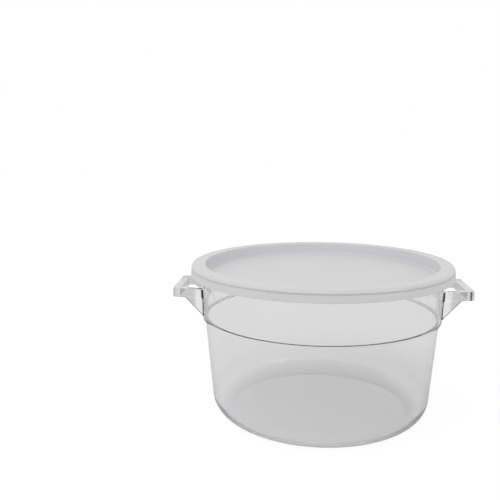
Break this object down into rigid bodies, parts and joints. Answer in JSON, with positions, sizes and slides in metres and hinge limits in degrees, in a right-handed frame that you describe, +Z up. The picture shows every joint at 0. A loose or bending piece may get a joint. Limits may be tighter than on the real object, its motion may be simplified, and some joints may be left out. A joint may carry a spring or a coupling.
{
  "type": "dough proofing container",
  "caption": "Round clear tub for proofing dough, with a shoulder below its rim, moulded loop handles at the sides and a press-on lid whose sunken top takes the base of the next tub.",
  "frame": {"origin": "the middle of the flat base, on the surface that the tub stands on", "axes": "+Z up through the lid, +X through one handle and -X through the other"},
  "size_m": [0.378, 0.338, 0.2],
  "materials": {
    "clear_plastic": "clear moulded polycarbonate, polished",
    "lid_plastic": "translucent white moulded polypropylene, satin"
  },
  "bodies": {
    "tub": {"tub": "clear_plastic"},
    "lid": {"lid": "lid_plastic"}
  },
  "joints": [
    {"name": "lid_lift", "type": "slide", "parent": "tub", "child": "lid", "axis": [0, 0, 1], "range_m": [0, 0.15]}
  ]
}
